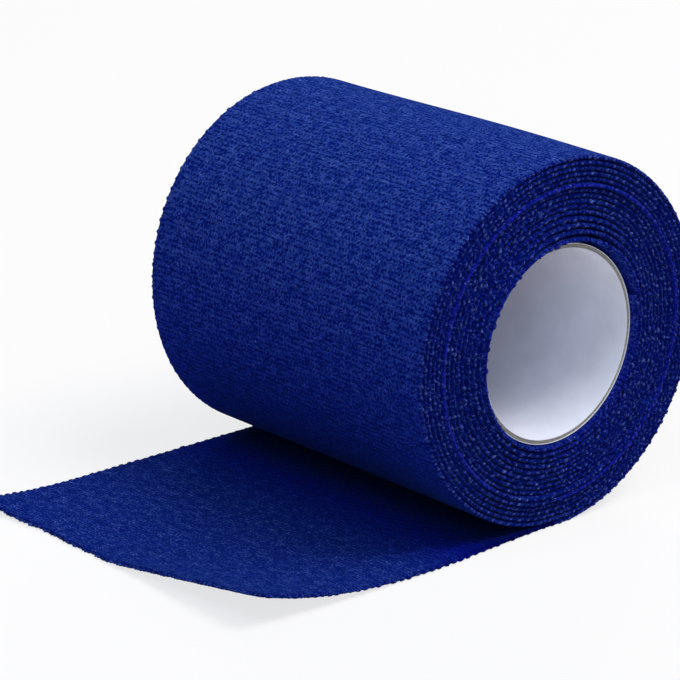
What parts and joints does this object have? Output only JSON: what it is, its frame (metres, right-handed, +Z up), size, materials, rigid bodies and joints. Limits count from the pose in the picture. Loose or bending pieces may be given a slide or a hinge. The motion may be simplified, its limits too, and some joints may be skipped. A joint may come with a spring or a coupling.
{
  "type": "cohesive bandage roll",
  "caption": "Roll of blue crepe cohesive bandage wound on a plain cardboard core, with its loose end lying out in front and one corner curled up.",
  "frame": {"origin": "on the surface that the roll lies on, under the roll's axis and midway between its two ends", "axes": "+X along the roll's axis, towards the end whose turns face the viewer; -Y the way the loose end runs out; +Z up"},
  "size_m": [0.0819, 0.1174, 0.0747],
  "materials": {
    "crepe": "matt royal blue crepe weave, slightly fuzzy, with paler loops along both selvedges",
    "cardboard": "white coated cardboard inside, bare grey-beige board at the rims"
  },
  "bodies": {
    "root": {"bandage": "crepe", "core": "cardboard"}
  },
  "joints": []
}
